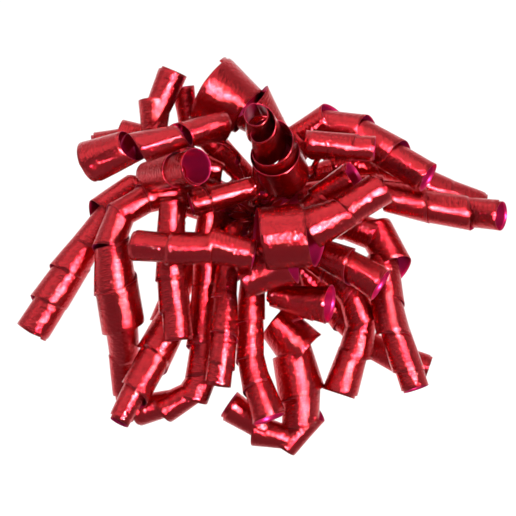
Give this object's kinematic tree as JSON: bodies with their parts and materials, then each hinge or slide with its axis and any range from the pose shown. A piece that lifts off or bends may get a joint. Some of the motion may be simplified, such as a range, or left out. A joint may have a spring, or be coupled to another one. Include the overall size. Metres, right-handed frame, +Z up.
{
  "type": "gift bow",
  "caption": "Ready-made gift bow of springy foil ribbon curls gathered and stapled to a round self-adhesive back.",
  "frame": {"origin": "centre of the outer face of the release liner, on the bow's flat back", "axes": "+Y out of the back, away from the bow; +X along the bow's length; +Z up as the bow hangs on an upright gift"},
  "size_m": [0.1731, 0.0593, 0.1369],
  "materials": {
    "red_foil": "gloss",
    "steel_wire": "satin",
    "white_card": "matte",
    "white_foam": "matte",
    "silicone_paper": "satin"
  },
  "bodies": {
    "root": {"foam_pad": "white_foam", "card_disc": "white_card", "staple": "steel_wire", "gathered_middles": "red_foil", "curl_left_back": "red_foil", "curl_upper_back": "red_foil", "curl_top_wide": "red_foil", "curl_left_facing": "red_foil", "curl_left_hanging": "red_foil", "curl_lower_left_slant": "red_foil", "curl_lower_left_back": "red_foil", "curl_lower_hooked_left": "red_foil", "curl_lower_middle": "red_foil", "curl_lower_middle_right": "red_foil", "curl_right_hanging": "red_foil", "curl_lower_right_inner": "red_foil", "curl_lower_right_back": "red_foil", "curl_right_arch": "red_foil", "curl_right_upper_tail": "red_foil", "curl_inner_right": "red_foil", "curl_inner_right_low": "red_foil", "curl_inner_left": "red_foil", "curl_inner_low": "red_foil"},
    "liner": {"release_liner": "silicone_paper"},
    "left_tail": {"curl_left_tail": "red_foil"},
    "right_tail": {"curl_right_tail": "red_foil"},
    "top_left": {"curl_top_left": "red_foil"},
    "left_upper": {"curl_left_upper": "red_foil"},
    "middle_left": {"curl_middle_left": "red_foil"},
    "right_diagonal": {"curl_right_diagonal": "red_foil"},
    "right_low": {"curl_right_low": "red_foil"},
    "centre_facing": {"curl_centre_facing": "red_foil"},
    "hooked_right": {"curl_lower_hooked_right": "red_foil"}
  },
  "joints": [
    {"name": "liner_peel", "type": "slide", "parent": "root", "child": "liner", "axis": [0, 1, 0], "range_m": [0, 0.03]},
    {"name": "left_tail_swing", "type": "hinge", "parent": "root", "child": "left_tail", "pos_m": [-0.00479, -0.003, 0.00102], "axis": [0, 1, 0], "range_deg": [-6, 4], "stiffness_Nm_per_rad": 0.02},
    {"name": "right_tail_swing", "type": "hinge", "parent": "root", "child": "right_tail", "pos_m": [0.0046, -0.0062, 0.00168], "axis": [0, 1, 0], "range_deg": [0, 5], "stiffness_Nm_per_rad": 0.02},
    {"name": "top_left_swing", "type": "hinge", "parent": "root", "child": "top_left", "pos_m": [-0.00352, -0.0062, 0.0034], "axis": [0, 1, 0], "range_deg": [-8, 4], "stiffness_Nm_per_rad": 0.02},
    {"name": "left_upper_swing", "type": "hinge", "parent": "root", "child": "left_upper", "pos_m": [-0.00184, -0.0094, 0.00454], "axis": [0, 1, 0], "range_deg": [0, 6], "stiffness_Nm_per_rad": 0.02},
    {"name": "middle_left_swing", "type": "hinge", "parent": "root", "child": "middle_left", "pos_m": [-0.0026, -0.0125, -0.00416], "axis": [0, 1, 0], "range_deg": [-4, 6], "stiffness_Nm_per_rad": 0.02},
    {"name": "right_diagonal_swing", "type": "hinge", "parent": "root", "child": "right_diagonal", "pos_m": [0.00375, -0.0125, -0.00315], "axis": [0, 1, 0], "range_deg": [-4, 2], "stiffness_Nm_per_rad": 0.02},
    {"name": "right_low_swing", "type": "hinge", "parent": "root", "child": "right_low", "pos_m": [0.00433, -0.0094, -0.0023], "axis": [0, 1, 0], "range_deg": [-4, 6], "stiffness_Nm_per_rad": 0.02},
    {"name": "centre_facing_nod", "type": "hinge", "parent": "root", "child": "centre_facing", "pos_m": [0.00102, -0.0125, 0.00479], "axis": [1, 0, 0], "range_deg": [-5, 4], "stiffness_Nm_per_rad": 0.02},
    {"name": "hooked_right_nod", "type": "hinge", "parent": "root", "child": "hooked_right", "pos_m": [0.00151, -0.0062, -0.00466], "axis": [1, 0, 0], "range_deg": [-1.5, 5], "stiffness_Nm_per_rad": 0.02}
  ]
}
